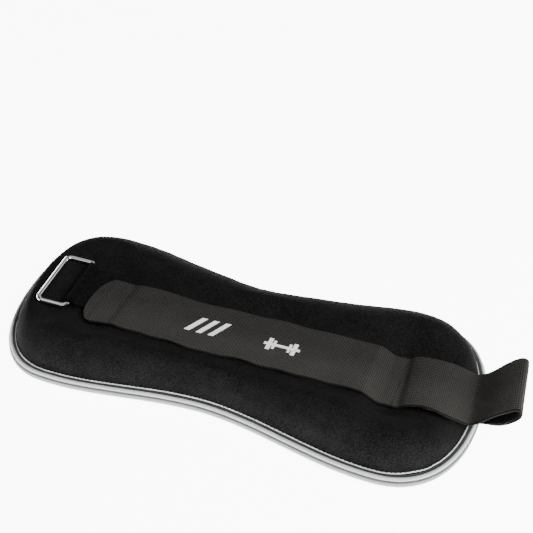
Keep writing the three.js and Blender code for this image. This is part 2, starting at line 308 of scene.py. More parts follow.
def cover_height(x, y):
    """A dome inside the seam, with a valley along the strap and a dimple beside the cross seam."""
    d = edge_distance(x, y)
    base = SEAM_Z + 2.0 * MM + 0.5 * np.minimum(d, LIP)
    rise = np.clip((d - LIP) / (CREST_RISE - LIP), 0, 1)
    top, foot = DOME_POWERS
    dome = base + (CREST - base) * (1 - (1 - rise) ** top) ** foot
    off = np.abs(y - bed_middle(x))
    open_end = ramp(np.abs(x), 82 * MM, 122 * MM)       # the valley widens to both ends
    inner = STRAP_HALF + (2 - 7 * open_end) * MM
    outer = STRAP_HALF + (19 + 16 * open_end) * MM
    valley = 1 - smooth((off - inner) / (outer - inner))
    bed = np.maximum(bed_height(x), base)
    height = dome - np.maximum(dome - bed, 0) * valley
    pinch_x = (x - SEAM.x + 3 * MM) / PINCH_LENGTH
    pinch_y = (off - STRAP_HALF - 4 * MM) / PINCH_WIDTH
    pinch = PINCH * np.exp(-pinch_x ** 2 - pinch_y ** 2)
    return height - np.minimum(pinch, np.maximum(height - bed + 1.5 * MM, 0))


def stations():
    """x positions of the cover's rows, with the pockets' middles among them."""
    rows = 22                                    # in each pocket
    inner = np.arange(-3 * rows, 3 * rows + 1) * (PITCH / rows)
    inner = inner[np.abs(inner) <= LOBE_AT + 0.1 * MM]
    angles = np.linspace(0, math.pi / 2, 30)[1:]
    reach = HALF - SHELL_INSET - LOBE_AT
    tips = LOBE_AT + reach * np.sin(angles) ** (2 / ROUNDNESS)
    tips = tips[tips > inner[-1] + 0.8 * MM]
    centre = CENTRES[6]
    tips[np.argmin(np.abs(tips - centre))] = centre
    return np.concatenate([-tips[::-1], inner, tips])


def cross_columns():
    """Shares of the half width, closer together near the seam and beside the strap."""
    t = np.linspace(-1, 1, 75)
    return np.sin(t * math.pi / 2) * 0.45 + t * 0.55


def pad_grid():
    """Rows and columns of the pad's grid, and its points' places in plan."""
    xs, vs = stations(), cross_columns()
    x = np.repeat(xs, len(vs))
    side = np.maximum(half_width(xs, SHELL_INSET), 0.2 * MM)
    y = (side[:, None] * vs[None, :]).ravel()
    return xs, vs, *in_plan(x, y)


def span_pieces(name, xs, verts, faces, rest, look):
    """Cuts a sheet on the pad's grid into one piece for each span: (number, piece)."""
    normals = vertex_normals(verts, faces)
    cols = len(verts) // len(xs)
    rows = np.array([(min(face) // cols, max(face) // cols) for face in faces])
    middle = (xs[rows[:, 0]] + xs[rows[:, 1]]) / 2
    for k, (start, end) in enumerate(SPANS):
        keep = (middle > start) & (middle < end)
        yield k, cut_piece(f"{name}_{k + 1}", verts, faces, keep, rest, normals, look)


# ---- cloth simulation ----
CLOTH = {"quality": 6, "mass": 0.25, "tension_stiffness": 20, "compression_stiffness": 20,
         "shear_stiffness": 10, "bending_stiffness": 1.5, "use_pressure": True,
         "uniform_pressure_force": 4.0, "use_pressure_volume": False, "pin_stiffness": 1.0}
CLOTH_FRAMES = 20


def inflate(verts, faces, pins, limit):
    """Blows a sheet up with Blender's cloth and returns the moved vertices."""
    obj = new_mesh("cloth_work", verts, faces)
    group = obj.vertex_groups.new(name="pins")
    for i, w in enumerate(pins):
        if w > 0:
            group.add([i], float(w), "REPLACE")
    cloth = obj.modifiers.new("cloth", "CLOTH")
    for key, value in CLOTH.items():
        setattr(cloth.settings, key, value)
    cloth.settings.vertex_group_mass = group.name
    cloth.settings.effector_weights.gravity = 0
    cloth.collision_settings.use_collision = False
    cloth.point_cache.frame_start = 1
    cloth.point_cache.frame_end = CLOTH_FRAMES
    scene = bpy.context.scene
    for number in range(1, CLOTH_FRAMES + 1):
        scene.frame_set(number)
    evaluated = obj.evaluated_get(bpy.context.evaluated_depsgraph_get())
    move = np.array([v.co for v in evaluated.data.vertices], float) - verts
    scene.frame_set(1)
    mesh = obj.data
    bpy.data.objects.remove(obj)
    bpy.data.meshes.remove(mesh)
    size = np.linalg.norm(move, axis=1)
    move *= (np.minimum(size, limit) / np.maximum(size, 1e-9))[:, None]
    return verts + move


# ---- section of the folded binding ----
BINDING_SECTION = [   # (outward, up) in mm from the seam's outer edge, counter-clockwise
    (-3.9, 1.6), (-4.3, 0.0), (-4.1, -1.8), (-3.2, -3.2), (-2.0, -3.7), (-0.9, -3.3),
    (-0.25, -2.2), (0.0, -0.9), (-0.1, 0.2), (-0.55, 0.9), (-1.15, 1.25), (-0.95, 1.6),
    (-1.0, 2.1), (-1.3, 2.7), (-1.75, 3.15), (-2.2, 3.45), (-2.7, 3.5), (-3.2, 3.2),
    (-3.6, 2.6)]
SECTION_SIDES = [math.dist(a, b) for a, b in zip(BINDING_SECTION, BINDING_SECTION[1:])]
SECTION_ARC = np.concatenate([[0], np.cumsum(SECTION_SIDES)]) * MM       # distance round to each point
CREASE_AT = float(SECTION_ARC[BINDING_SECTION.index((-1.15, 1.25))] / SECTION_ARC[-1])


# ---- materials ----
class Shader:
    """The nodes of a material or of the sky, with a short way to add each kind."""

    def __init__(self, owner):
        owner.use_nodes = True
        self.owner = owner
        self.nodes, self.links = owner.node_tree.nodes, owner.node_tree.links
        self.surface = self.nodes.get("Principled BSDF")

    def put(self, node, inputs):
        """Links or sets inputs of a node, given by name or number."""
        for key, value in inputs.items():
            if isinstance(value, bpy.types.NodeSocket):
                self.links.new(value, node.inputs[key])
            else:
                node.inputs[key].default_value = value

    def flat(self):
        """The place of a point on its cloth, laid out flat, as stored with the mesh."""
        node = self.nodes.new("ShaderNodeAttribute")
        node.attribute_name = "flat"
        return node.outputs["Vector"]

    def coordinate(self, kind):
        return self.nodes.new("ShaderNodeTexCoord").outputs[kind]

    def split(self, vector):
        """The X, Y and Z of a vector."""
        node = self.nodes.new("ShaderNodeSeparateXYZ")
        self.put(node, {0: vector})
        return node.outputs[:3]

    def noise(self, coords, scale, detail=2.0, rough=0.5):
        node = self.nodes.new("ShaderNodeTexNoise")
        self.put(node, {"Vector": coords, "Scale": scale, "Detail": detail, "Roughness": rough})
        return node.outputs["Fac"]

    def ribs(self, coords, pitch, direction="X", distortion=0.8):
        """Parallel ribs at a pitch in metres."""
        node = self.nodes.new("ShaderNodeTexWave")
        node.bands_direction = direction
        self.put(node, {"Vector": coords, "Scale": math.pi / (10 * pitch),
                        "Distortion": distortion, "Detail": 1.0})
        return node.outputs["Fac"]

    def math(self, operation, a, b=0.0):
        node = self.nodes.new("ShaderNodeMath")
        node.operation = operation
        self.put(node, {0: a, 1: b})
        return node.outputs[0]

    def total(self, *terms):
        """The sum of (value, weight) terms."""
        parts = [self.math("MULTIPLY", value, weight) for value, weight in terms]
        out = parts[0]
        for part in parts[1:]:
            out = self.math("ADD", out, part)
        return out

    def between(self, value, source, target=(0, 1)):
        """Maps a value from one range to another and holds it at the ends."""
        node = self.nodes.new("ShaderNodeMapRange")
        self.put(node, dict(enumerate((value, *source, *target))))
        return node.outputs[0]

    def colours(self, value, *stops):
        """Fades through (place, colour) stops, the lowest place first."""
        node = self.nodes.new("ShaderNodeValToRGB")
        elements = node.color_ramp.elements
        for element, (place, colour) in zip(elements, (stops[0], stops[-1])):
            element.position = place
            element.color = (*colour, 1)
        for place, colour in stops[1:-1]:
            elements.new(place).color = (*colour, 1)
        self.put(node, {"Fac": value})
        return node.outputs["Color"]

    def bump(self, height, strength, depth):
        node = self.nodes.new("ShaderNodeBump")
        self.put(node, {"Height": height, "Strength": strength, "Distance": depth})
        return node.outputs["Normal"]


def material(name):
    return Shader(bpy.data.materials.new(name))


def jersey(name, dark, light, sheen):
    """Knitted cloth with a fine nap."""
    m = material(name)
    fine = m.noise(m.flat(), 1100, 3, 0.65)
    broad = m.noise(m.flat(), 60, 3, 0.6)
    colour = m.colours(m.total((fine, 1), (broad, 0.22)), (0.45, dark), (0.8, light))
    m.put(m.surface, {"Base Color": colour, "Roughness": 0.95, "Specular IOR Level": 0.03,
                      "Sheen Weight": sheen, "Sheen Roughness": 0.5,
                      "Normal": m.bump(fine, 0.35, 0.4 * MM)})
    return m.owner


def woven(name, dark, light, rib=1.2 * MM):
    """Webbing: fine cross ribs, with a twill rubbed in patches where it is sewn down and none on the
    free end. Its near side is painted lighter as painted light, and its edges are painted darker as
    painted shade.
    """
    m = material(name)
    flat = m.flat()
    ribs = m.ribs(flat, rib, "X", 0.6)
    ends = m.ribs(flat, rib / 0.8, "Y", 0.6)
    diagonal = m.ribs(flat, rib / 0.85, "DIAGONAL", 2.0)
    weave = m.math("MULTIPLY", ribs, ends)
    broad = m.noise(flat, 45, 3, 0.6)
    fibre = m.noise(flat, 2200, 2, 0.6)
    along, across, _ = m.split(flat)
    loose = m.between(along, COMES_LOOSE)
    sewn = m.math("SUBTRACT", 1.15, loose)
    twill = m.math("MULTIPLY", m.math("MULTIPLY", diagonal, broad), sewn)
    lengthwise = m.math("MULTIPLY", ends, loose)
    # painted light: the near side of the strap is up to a tenth lighter, in place of the shading
    # across its bow
    painted_near_side_light = m.between(across, (8 * MM, -10 * MM), (0, 0.1))
    side = m.math("ABSOLUTE", across)
    # painted shade: a dark line about a millimetre wide along both edges of the strap, in place of the
    # shadow at its edges
    painted_edge_shade = m.between(side, (STRAP_HALF - 1.3 * MM, STRAP_HALF - 0.3 * MM), (0, 0.7))
    tone = m.total((weave, 0.5), (twill, 0.28), (fibre, 0.3), (lengthwise, 0.14), (painted_near_side_light, 1),
                   (painted_edge_shade, -1))
    height = m.total((weave, 1), (diagonal, 0.4))
    m.put(m.surface, {"Base Color": m.colours(tone, (0.15, dark), (1.0, light)),
                      "Roughness": 0.85, "Specular IOR Level": 0.03,
                      "Normal": m.bump(height, 0.5, 0.5 * MM)})
    return m.owner


def ribbed_tape(name, dark, light, rib=1.1 * MM):
    m = material(name)
    ribs = m.ribs(m.flat(), rib)
    broad = m.noise(m.flat(), 90, 3, 0.6)
    colour = m.colours(m.total((ribs, 0.4), (broad, 0.8)), (0.25, dark), (0.8, light))
    m.put(m.surface, {"Base Color": colour, "Roughness": 0.6, "Sheen Weight": 0.15,
                      "Normal": m.bump(ribs, 0.5, 0.4 * MM)})
    return m.owner


def banded_tape(name, painted_shade_bottom, painted_fold_shadow, upper):
    """Folded tape: "flat" holds the length along it and the distance round its section. Painted shade
    darkens its bottom lobe, and darkens the fold line between its lobes further still.
    """
    m = material(name)
    place = m.between(m.split(m.flat())[1], (0, SECTION_ARC[-1]))
    # painted shade: the bottom lobe and the fold line between the lobes take darker colours than the
    # top lobe
    colour = m.colours(place, (CREASE_AT - 0.07, painted_shade_bottom), (CREASE_AT - 0.035, painted_fold_shadow),
                       (CREASE_AT + 0.03, painted_fold_shadow), (CREASE_AT + 0.06, upper))
    m.put(m.surface, {"Base Color": colour, "Roughness": 0.6,
                      "Normal": m.bump(m.ribs(m.flat(), 1.1 * MM), 0.6, 0.4 * MM)})
    return m.owner


def fuzzy(name, dark, light):
    """Loop pile: tufts in clumps."""
    m = material(name)
    tufts = m.noise(m.flat(), 1100, 4, 0.7)
    clumps = m.noise(m.flat(), 240, 3, 0.6)
    tone = m.math("MULTIPLY", tufts, clumps)
    m.put(m.surface, {"Base Color": m.colours(tone, (0.2, dark), (0.5, light)),
                      "Roughness": 1.0, "Specular IOR Level": 0.05, "Sheen Weight": 0.02,
                      "Normal": m.bump(tone, 0.9, 1.2 * MM)})
    return m.owner


def chrome(name, dark, light):
    m = material(name)
    smudge = m.noise(m.coordinate("Object"), 180, 3, 0.6)
    m.put(m.surface, {"Base Color": m.colours(smudge, (0, dark), (1, light)), "Metallic": 1.0,
                      "Roughness": m.between(smudge, (0, 1), (0.02, 0.07))})
    return m.owner


COVER = jersey("black_jersey", (0.0014, 0.0014, 0.0015), (0.0125, 0.0122, 0.0118), 0.008)
LINING = jersey("black_lining", (0.0014, 0.0014, 0.0015), (0.008, 0.008, 0.008), 0.02)
STRAP = woven("charcoal_webbing", (0.010, 0.0095, 0.0088), (0.078, 0.0745, 0.069))
# painted shade: the tape's bottom lobe (0.15) and the fold line between its lobes (0.035) are darker
# copies of its silver (0.4)
BINDING = banded_tape("silver_binding", (0.15, 0.155, 0.155), (0.035, 0.037, 0.037),
                      (0.4, 0.415, 0.41))
GROOVE = ribbed_tape("dark_edge_tape", (0.003, 0.005, 0.004), (0.011, 0.017, 0.015))
THREAD = ribbed_tape("white_thread", (0.62, 0.63, 0.6), (0.85, 0.86, 0.83), 0.8 * MM)
FUZZ = fuzzy("loop_tape", (0.0012, 0.0012, 0.0012), (0.007, 0.0068, 0.0065))
PRINT = ribbed_tape("white_print", (0.86, 0.86, 0.85), (0.97, 0.97, 0.96), 1.2 * MM)
CHROME = chrome("chromed_wire", (0.72, 0.72, 0.74), (0.84, 0.84, 0.85))


# ---- cover ----
PUFF = 2.2 * MM                                  # the most that the simulation may move a point
RIM_RISE = 2.6 * MM                              # height of the cover's rim above the seam


def ripples(x, y, d):
    """Low waves where the loose filling has settled, and short puckers along the seam."""
    lumps = (np.sin(x / (19 * MM) + y / (31 * MM)) * np.sin(y / (17 * MM) - x / (43 * MM) + 0.7)
             + 0.6 * np.sin(x / (11 * MM) - y / (14 * MM) + 1.9))
    pucker = np.sin(x / (2.9 * MM) + 1.3 * np.sin(x / (13 * MM)))
    near_seam = ramp(d, LIP, LIP + 3 * MM) * (1 - ramp(d, LIP + 5 * MM, LIP + 14 * MM))
    return 0.55 * MM * lumps + 0.16 * MM * pucker * near_seam


def build_cover():
    """The cover, in one piece for each span; returns its surface as a tree for rays."""
    xs, vs, x, y = pad_grid()
    verts = np.stack([x, y, cover_height(x, y)], 1)
    faces = grid_faces(len(xs), len(vs))
    rest = verts.copy()
    d = edge_distance(x, y)
    off = np.abs(y - bed_middle(x))
    under_strap = 1 - ramp(off, STRAP_HALF - 1 * MM, STRAP_HALF + 6 * MM)
    rim = 1 - ramp(d, LIP, LIP + 4 * MM)
    pins = np.maximum(rim, under_strap)
    verts[:, 2] += ripples(x, y, d) * (1 - pins)
    verts = inflate(verts, faces, pins, PUFF)
    for k, piece in span_pieces("cover", xs, verts, faces, rest, COVER):
        nodes = [f"outer_cover_{k + 1}", f"filling_bag_{k + 1}"]
        if k == 5:
            nodes += ["outer_cover_7", "filling_bag_7"]
        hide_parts(*nodes)
        bend_between(piece, k)
    return BVHTree.FromPolygons([tuple(v) for v in verts], faces)


def drop(tree, x, y):
    """Height of a surface at (x, y), seen from above, or of its rim outside it."""
    hit = tree.ray_cast(Vector((x, y, 1.0)), Vector((0, 0, -1)))[0]
    return hit.z if hit is not None else SEAM_Z + RIM_RISE


# ---- lining ----
FOLDS = [(0, 2.4, 3.2), (-10, 0.9, 3.4), (9, 1.1, 3.6)]      # (place, depth, width) at each bend, mm


def lining_height(x, y, d):
    """Flat on the table, with folds across it where the cuff bends, up to the seam."""
    rise = (SEAM_Z - 1.2 * MM) * (1 - ramp(d, 0, 17 * MM)) ** 1.5
    folds = np.zeros_like(x)
    for k in range(1, 7):
        hinge = (k - 3.5) * PITCH
        for offset, depth, width in FOLDS:
            wander = 1.4 * MM * np.sin(y / (21 * MM) + k * 1.7 + offset)
            t = (x - hinge - offset * MM - wander) / (width * MM)
            folds += depth * MM * np.exp(-t * t)
    inside = ramp(d, 2 * MM, 14 * MM)
    return rise + folds * inside


def build_lining():
    xs, vs, x, y = pad_grid()
    verts = np.stack([x, y, lining_height(x, y, edge_distance(x, y))], 1)
    faces = grid_faces(len(xs), len(vs), flip=True)
    for k, piece in span_pieces("lining", xs, verts, faces, verts, LINING):
        nodes = [f"inner_lining_{k + 1}"] + (["inner_lining_7"] if k == 5 else [])
        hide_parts(*nodes)
        bend_between(piece, k)


# ---- edge binding, its inner edge and the stitching ----
SEAM_EDGE = Edge(0.0)                            # the outer edge of the cuff
SIDES = 6                                        # of a thread's section


def sweep(edge, start, end):
    """The binding's section, swept along one run of the cuff's edge with a slight waviness."""
    count = max(int(round((end - start) / (1.4 * MM))), 4) + 1
    s = np.linspace(start, end, count)
    p, n = edge.at(s), edge.normal(s)
    section = np.array(BINDING_SECTION) * MM
    wave = 0.06 * MM * (np.sin(s / (2.3 * MM)) * 0.5 + np.sin(s / (5.9 * MM) + 1))
    out = section[None, :, 0] + wave[:, None] * 0.5
    up = SEAM_Z + section[None, :, 1] + wave[:, None]
    plan = p[:, None] + n[:, None] * out[..., None]
    verts = np.concatenate([plan, up[..., None]], -1).reshape(-1, 3)
    rest = np.stack([np.repeat(s, len(section)), np.tile(SECTION_ARC, count),
                     np.zeros(len(verts))], 1)
    return verts, grid_faces(count, len(section), closed=True), rest


def build_binding():
    for number, (k, start, end) in enumerate(SEAM_EDGE.runs()):
        verts, faces, rest = sweep(SEAM_EDGE, start, end)
        piece = new_mesh(f"binding_{number + 1}", verts, faces, rest, BINDING)
        side = "far" if verts[:, 1].mean() > 0 else "near"
        if k == 0:
            names = ["edge_binding_end_1"]
        elif k == 5:
            names = ["edge_binding_end_7", "edge_binding_far_6", "edge_binding_near_6"]
        else:
            names = [f"edge_binding_{side}_{k + 1}"]
        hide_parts(*names)
        bend_between(piece, k)


def tube(centre, radius):
    """A capped tube round a line of points."""
    centre = np.asarray(centre, float)
    along = np.gradient(centre, axis=0)
    along /= np.linalg.norm(along, axis=1)[:, None]
    up = np.array([0, 0, 1.0])
    side = np.cross(along, up)
    side /= np.linalg.norm(side, axis=1)[:, None]
    top = np.cross(side, along)
    a = np.linspace(0, 2 * math.pi, SIDES, endpoint=False)
    ring = np.cos(a)[None, :, None] * side[:, None] + np.sin(a)[None, :, None] * top[:, None]
    verts = (centre[:, None] + ring * np.asarray(radius)[:, None, None]).reshape(-1, 3)
    faces = grid_faces(len(centre), SIDES, closed=True, flip=True)
    faces.append(tuple(range(SIDES)))
    faces.append(tuple(range((len(centre) - 1) * SIDES, len(centre) * SIDES))[::-1])
    return verts, faces


def thread(name, stitches, look):
    """One piece made of stitches, each given as its line, its radii and its lengths along."""
    verts, faces, rest = [], [], []
    for line, radii, along in stitches:
        tube_verts, tube_faces = tube(line, radii)
        base = len(verts)
        verts.extend(tube_verts)
        faces.extend(tuple(base + v for v in face) for face in tube_faces)
        rest.extend((a, 0, 0) for a in np.repeat(along, SIDES))
    return new_mesh(name, verts, faces, rest, look)


STITCH_INSET = 5.7 * MM                          # from the cuff's outer edge
STITCH_LENGTH = 3.0 * MM
STITCH_RADII = np.array([0.34, 0.44, 0.48, 0.48, 0.44, 0.34]) * MM


def build_stitching(tree):
    """A line of thread on the cover just inside the binding."""
    edge = Edge(STITCH_INSET)
    points = len(STITCH_RADII)
    arch = np.sin(np.linspace(0, math.pi, points)) * 0.3 * MM
    for number, (k, start, end) in enumerate(edge.runs()):
        stitches = []
        count = int(round((end - start) / STITCH_LENGTH))
        size = (end - start) / count
        for i in range(count):
            s = start + size * (i + 0.5) + np.linspace(-0.49, 0.49, points) * size
            p = edge.at(s)
            lift = np.mean([drop(tree, px, py) for px, py in p[1:-1]])
            stitches.append((np.column_stack([p, lift + arch + 0.25 * MM]), STITCH_RADII, s))
        piece = thread(f"stitching_{number + 1}", stitches, THREAD)
        bend_between(piece, k)


# The tape's dark inner edge, as (inward from the outer edge, height) in mm.
TAPE_EDGE = [(2.9, 9.4), (3.4, 9.9), (4.2, 9.8), (5.0, 9.9), (5.3, 9.3), (6.6, 8.4)]


def build_edge_tape():
    """The tape's dark inner edge, which lies between the binding and the thread."""
    inward, up = np.array(TAPE_EDGE).T * MM
    for number, (k, start, end) in enumerate(SEAM_EDGE.runs()):
        count = int((end - start) / (1.6 * MM)) + 2
        s = np.linspace(start, end, count)
        p, n = SEAM_EDGE.at(s), SEAM_EDGE.normal(s)
        plan = p[:, None] - n[:, None] * inward[None, :, None]
        z = up[None, :] + 0.08 * MM * np.sin(s / (2.1 * MM))[:, None]
        verts = np.concatenate([plan, z[..., None]], -1).reshape(-1, 3)
        rest = np.stack([np.repeat(s, len(up)), np.tile(inward, count), np.zeros(len(verts))], 1)
        faces = grid_faces(count, len(up), flip=True)
        piece = new_mesh(f"edge_tape_{number + 1}", verts, faces, rest, GROOVE)
        bend_between(piece, k)


# ---- strap ----
ALONG = Vector((-STRAP_AXIS.y, STRAP_AXIS.x, 0))          # from the seam towards the fold
HEADING = math.atan2(ALONG.y, ALONG.x)
TAB_TOP = TAB_DIMPLE + GAP + 2.4 * MM                     # height of the doubled tab's upper face


def strap_bottom(x):
    return np.maximum(bed_height(x), np.where(x < -88 * MM, TAB_TOP, 0)) + 0.3 * MM


def strap_waves(x):
    return 0.3 * MM * np.sin(x / (17 * MM)) * (1 - ramp(np.abs(x), 70 * MM, 90 * MM))


def local(name):
    """(length along the free end, height) of one of the strap's hinges."""
    p = Vector(JOINTS[name]["pos_m"]) - Vector((SEAM.x, SEAM.y, 0))
    return p.dot(ALONG), JOINTS[name]["pos_m"][2]


def curve(points, step=0.8 * MM):
    """A smooth line through points, at even spacing."""
    p = np.array(points, float)
    ext = np.vstack([2 * p[0] - p[1], p, 2 * p[-1] - p[-2]])
    out = []
    for i in range(1, len(ext) - 2):
        p0, p1, p2, p3 = ext[i - 1:i + 3]
        for t in np.linspace(0, 1, 30, endpoint=False):
            out.append(0.5 * (2 * p1 + (p2 - p0) * t + (2 * p0 - 5 * p1 + 4 * p2 - p3) * t ** 2
                              + (3 * p1 - p0 - 3 * p2 + p3) * t ** 3))
    out.append(ext[-2])
    out = np.array(out)
    length = np.concatenate([[0], np.cumsum(np.linalg.norm(np.diff(out, axis=0), axis=1))])
    s = np.linspace(0, length[-1], int(length[-1] / step) + 1)
    line = np.stack([np.interp(s, length, out[:, 0]), np.interp(s, length, out[:, 1])], 1)
    return line, s


# Free end in (length along, height), mm, between the hinges of the frame.
RUN = [(2, 22.4), (5, 24.6), (9.5, 26.0), (15, 26.6), (21, 26.6), (28, 25.6), (34, 23.9),
       (41, 21.3)]
RISE = [(50, 20.6), (55, 24.4), (60, 29.2), (65, 34.0)]
FOLD = [(73, 40.8), (75.6, 41.4), (77.4, 40.2), (77.9, 37.6)]
RETURN = [(74, 30.4), (69, 25.7), (63, 21.6), (56, 18.7), (50.5, 17.0)]
TIP = [(41, 17.7), (34, 19.9), (27, 21.5), (21, 22.4), (16.8, 22.6)]
TIP_NARROWER = 4.8 * MM                          # the tip's half width is drawn in by this much


def free_profile():
    """Centre line of the free end and the places of its hinges along it."""
    hinge = [local(n) for n in ("strap_bend", "fold_open_1", "fold_open_2", "end_bend")]
    lists = [RUN, RISE, FOLD, RETURN, TIP]
    points = [local("strap_lift")]
    for part, after in zip(lists, [*hinge, None]):
        points += [(a * MM, b * MM) for a, b in part]
        if after is not None:
            points.append(after)
    line, s = curve(points)
    places = []
    for h in hinge:
        d = np.hypot(*(line - np.array(h)).T)
        d[s < (places[-1] if places else 0) + 4 * MM] = 1
        places.append(s[int(np.argmin(d))])
    return line, s, places


def world(points):
    """(length along, height) of the free end, in the shared frame."""
    p = np.asarray(points, float)
    return np.stack([SEAM.x + ALONG.x * p[:, 0], SEAM.y + ALONG.y * p[:, 0], p[:, 1]], 1)


class Strap:
    """The whole strap's centre line, from the tongue's tip to the tip under the loop."""

    def __init__(self):
        first = 1.5 * MM * (np.arange(12) / 11) ** 1.6
        x = np.concatenate([TONGUE_X + first, np.arange(TONGUE_X + 2.2 * MM, SEAM.x, 0.75 * MM)])
        z = strap_bottom(x) + WEBBING / 2 + strap_waves(x)
        sewn = np.stack([x, strap_middle(x), z], 1)
        line, s, places = free_profile()
        free = world(line)
        self.points = np.concatenate([sewn, free])
        step = np.linalg.norm(np.diff(self.points, axis=0), axis=1)
        self.length = np.concatenate([[0], np.cumsum(step)])
        self.seam = self.length[len(sewn)]
        self.x = np.concatenate([x, SEAM.x + s])
        turn = HEADING * ramp(self.x, 100 * MM, 126 * MM)
        self.across = np.stack([-np.sin(turn), np.cos(turn), np.zeros_like(turn)], 1)
        along = np.gradient(self.points, axis=0)
        along -= self.across * (along * self.across).sum(1)[:, None]
        along /= np.linalg.norm(along, axis=1)[:, None]
        self.normal = np.cross(along, self.across)
        u = np.clip(TONGUE_X + TONGUE_ROUND - self.x, 0, None) / TONGUE_ROUND
        self.half = STRAP_HALF * np.maximum(1 - u ** ROUNDNESS, 1e-4) ** (1 / ROUNDNESS)
        self.places = [self.seam + q for q in places]
        self.half = self.half - TIP_NARROWER * ramp(self.length, self.places[2], self.places[3])

    def point(self, q):
        """Point of the centre line at a length along it."""
        return tuple(np.interp(q, self.length, self.points[:, a]) for a in range(3))

    def cuts(self):
        """(piece, CAD nodes, bodies, blend start, blend end) with places along the strap."""
        at = [np.interp(x, self.x, self.length) for x in CENTRES[1:6]]
        hinge = self.places
        start = self.seam + 4 * MM
        befores = [self.seam + 12 * MM, *hinge]
        mid = [(a + b) / 2 for a, b in zip(befores, [*hinge, self.length[-1]])]
        parts = [("strap_tongue", ["strap_tongue_2"], None, 0, at[0])]
        for k in range(1, 5):
            parts.append((f"strap_{k}", [f"strap_sewn_{k + 2}"], k, at[k - 1], at[k]))
        parts.append(("strap_seam", ["strap_seam_7"], 5, at[4], start))
        chain = ["pocket_7", "free_strap_1", "free_strap_2", "fold", "return", "folded_end"]
        nodes = ["strap_run", "strap_rise", "strap_fold", "strap_return", "strap_end"]
        stops = [start, *mid[:4], self.length[-1]]
        for k in range(5):
            parts.append((nodes[k].replace("strap", "loop"), [nodes[k]],
                          (chain[k], chain[k + 1]), stops[k], stops[k + 1]))
        return parts


CROSS = np.concatenate([[-1, -0.99, -0.96], np.linspace(-0.9, 0.9, 25), [0.96, 0.99, 1]])
ROUND_EDGE = np.array([0.35, 0.75, 1.0] + [1.0] * 25 + [1.0, 0.75, 0.35])
AROUND = 2 * len(CROSS)                          # vertices round a layer at one station


def layer_on(strap, low, high, spread=1.0, edge_wave=0.0):
    """Vertices of a layer between two heights above the strap's centre line."""
    n, w = len(strap.points), len(CROSS)
    wave = edge_wave * np.sin(strap.length / (7 * MM) + 0.8 * np.sin(strap.length / (23 * MM)))
    lift = wave[:, None] * (np.abs(CROSS) ** 6)[None, :] * np.sign(CROSS)[None, :]
    half = strap.half * spread
    sway = edge_wave * (np.sin(strap.length / (9 * MM)) + np.sin(strap.length / (4.1 * MM) + 2))
    sideways = CROSS[None] * half[:, None] + sway[:, None] * np.clip(-CROSS, 0, 1)[None] ** 8
    spot = strap.points[:, None] + strap.across[:, None] * sideways[..., None]
    spot = spot + strap.normal[:, None] * lift[..., None]
    middle, deep = (low + high) / 2, (high - low) / 2
    top = spot + strap.normal[:, None] * (middle + deep * ROUND_EDGE)[None, :, None]
    under = spot + strap.normal[:, None] * (middle - deep * ROUND_EDGE)[None, :, None]
    verts = np.concatenate([top, under[:, ::-1]], 1).reshape(-1, 3)
    flat = np.stack([np.broadcast_to(strap.x[:, None], (n, w)), CROSS[None] * half[:, None],
                     np.zeros((n, w))], -1)
    rest = np.concatenate([flat, flat[:, ::-1]], 1).reshape(-1, 3)
    return verts, rest


def layer_sheet(strap, verts):
    """Faces and normals of a layer, and the place of each face along the strap."""
    faces = grid_faces(len(strap.points), AROUND, closed=True)
    row = np.array([f[0] // AROUND for f in faces])
    middle = (strap.length[row] + strap.length[row + 1]) / 2
    return faces, vertex_normals(verts, faces), middle


def on_pocket(piece, k):
    """A piece of the tongue is parented to pocket 2's body; any other goes to bend_between for the
    k-th span.
    """
    if k is None:
        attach(piece, "pocket_2")
    else:
        bend_between(piece, k)


def build_strap():
    strap = Strap()
    verts, rest = layer_on(strap, -WEBBING / 2, WEBBING / 2, 1.0, 0.5 * MM)
    faces, normals, middle = layer_sheet(strap, verts)
    last = (len(strap.points) - 1) * AROUND
    caps = {"strap_tongue": tuple(range(AROUND)),
            "loop_end": tuple(range(last, last + AROUND))[::-1]}
    for name, nodes, how, start, end in strap.cuts():
        body, chosen = list(faces), list((middle > start) & (middle <= end))
        if name in caps:
            body.append(caps[name])
            chosen.append(True)
        piece = cut_piece(name, verts, body, chosen, rest, normals, STRAP)
        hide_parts(*nodes)
        if isinstance(how, tuple):
            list(how)
            strap.point(start)
            strap.point(end)
            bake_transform(piece)
        else:
            on_pocket(piece, how)
    return strap


def build_hook_tape(strap):
    """Fuzzy tape on the inner face of the returning strap, from the fold to its tip."""
    verts, rest = layer_on(strap, -WEBBING / 2 - 0.75 * MM, -WEBBING / 2 - 0.05 * MM, 0.97)
    rng = np.random.default_rng(7)
    tufts = rng.uniform(0, 0.16 * MM, (len(verts), 1))
    verts = verts + strap.normal.repeat(AROUND, 0) * tufts
    faces, normals, middle = layer_sheet(strap, verts)
    begin = strap.places[1] + 3 * MM
    finish = strap.length[-1] - 1.5 * MM
    for name, _, how, start, end in strap.cuts():
        keep = (middle > max(start, begin)) & (middle <= min(end, finish))
        if not keep.any():
            continue
        used = sorted({v for f, k in zip(faces, keep) if k for v in f})
        body, chosen = list(faces), list(keep)
        if start <= begin:
            body.append(tuple(range(used[0], used[0] + AROUND)))
            chosen.append(True)
        if end >= finish:
            body.append(tuple(range(used[-1] - AROUND + 1, used[-1] + 1))[::-1])
            chosen.append(True)
        piece = cut_piece(name.replace("loop", "hooks"), verts, body, chosen, rest, normals, FUZZ)
        if name == "loop_end":
            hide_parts("hook_tape")
        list(how)
        strap.point(start)
        strap.point(end)
        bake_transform(piece)


# ---- print and stitches on the strap ----
def strap_place(strap, x, across):
    """Point on the sewn strap's upper face."""
    base = np.array([np.interp(x, strap.x, strap.points[:, a]) for a in range(3)])
    return base + np.array([0, 1, 0]) * across + np.array([0, 0, WEBBING / 2])


